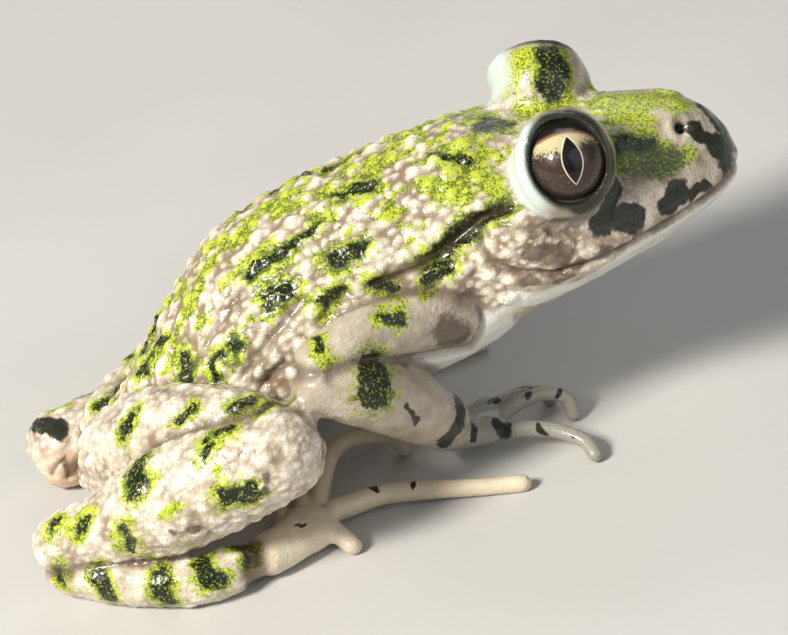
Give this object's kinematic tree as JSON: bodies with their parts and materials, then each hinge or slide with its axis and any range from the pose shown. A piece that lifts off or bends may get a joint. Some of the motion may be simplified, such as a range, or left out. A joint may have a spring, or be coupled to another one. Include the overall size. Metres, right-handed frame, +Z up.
{
  "type": "frog model",
  "caption": "Still life-size model of a common parsley frog sitting with its head raised, long hind legs folded and slim unwebbed toes.",
  "frame": {"origin": "on the floor, under the middle of the whole frog's length and width, limbs included", "axes": "+X towards the snout, +Y towards the frog's left side, +Z up"},
  "size_m": [0.0421, 0.031, 0.0199],
  "materials": {
    "head_skin": "moist, glossy",
    "back_skin": "moist, glossy, warty",
    "limb_skin": "moist, glossy",
    "throat_skin": "moist, smooth",
    "digit_skin": "moist, smooth",
    "eye_gloss": "wet, mirror-smooth"
  },
  "bodies": {
    "root": {"head": "head_skin", "lower_jaw": "throat_skin", "trunk": "back_skin", "eye_left": "eye_gloss", "eye_right": "eye_gloss", "upper_arm_left": "limb_skin", "upper_arm_right": "limb_skin", "forearm_left": "limb_skin", "forearm_right": "limb_skin", "palm_left": "digit_skin", "palm_right": "digit_skin", "finger_1_left": "digit_skin", "finger_2_left": "digit_skin", "finger_3_left": "digit_skin", "finger_4_left": "digit_skin", "finger_1_right": "digit_skin", "finger_2_right": "digit_skin", "finger_3_right": "digit_skin", "finger_4_right": "digit_skin", "thigh_left": "limb_skin", "thigh_right": "limb_skin", "shank_left": "limb_skin", "shank_right": "limb_skin", "tarsus_left": "limb_skin", "tarsus_right": "limb_skin", "sole_left": "digit_skin", "sole_right": "digit_skin", "toe_1_left": "digit_skin", "toe_2_left": "digit_skin", "toe_3_left": "digit_skin", "toe_4_left": "digit_skin", "toe_5_left": "digit_skin", "toe_1_right": "digit_skin", "toe_2_right": "digit_skin", "toe_3_right": "digit_skin", "toe_4_right": "digit_skin", "toe_5_right": "digit_skin"}
  },
  "joints": []
}
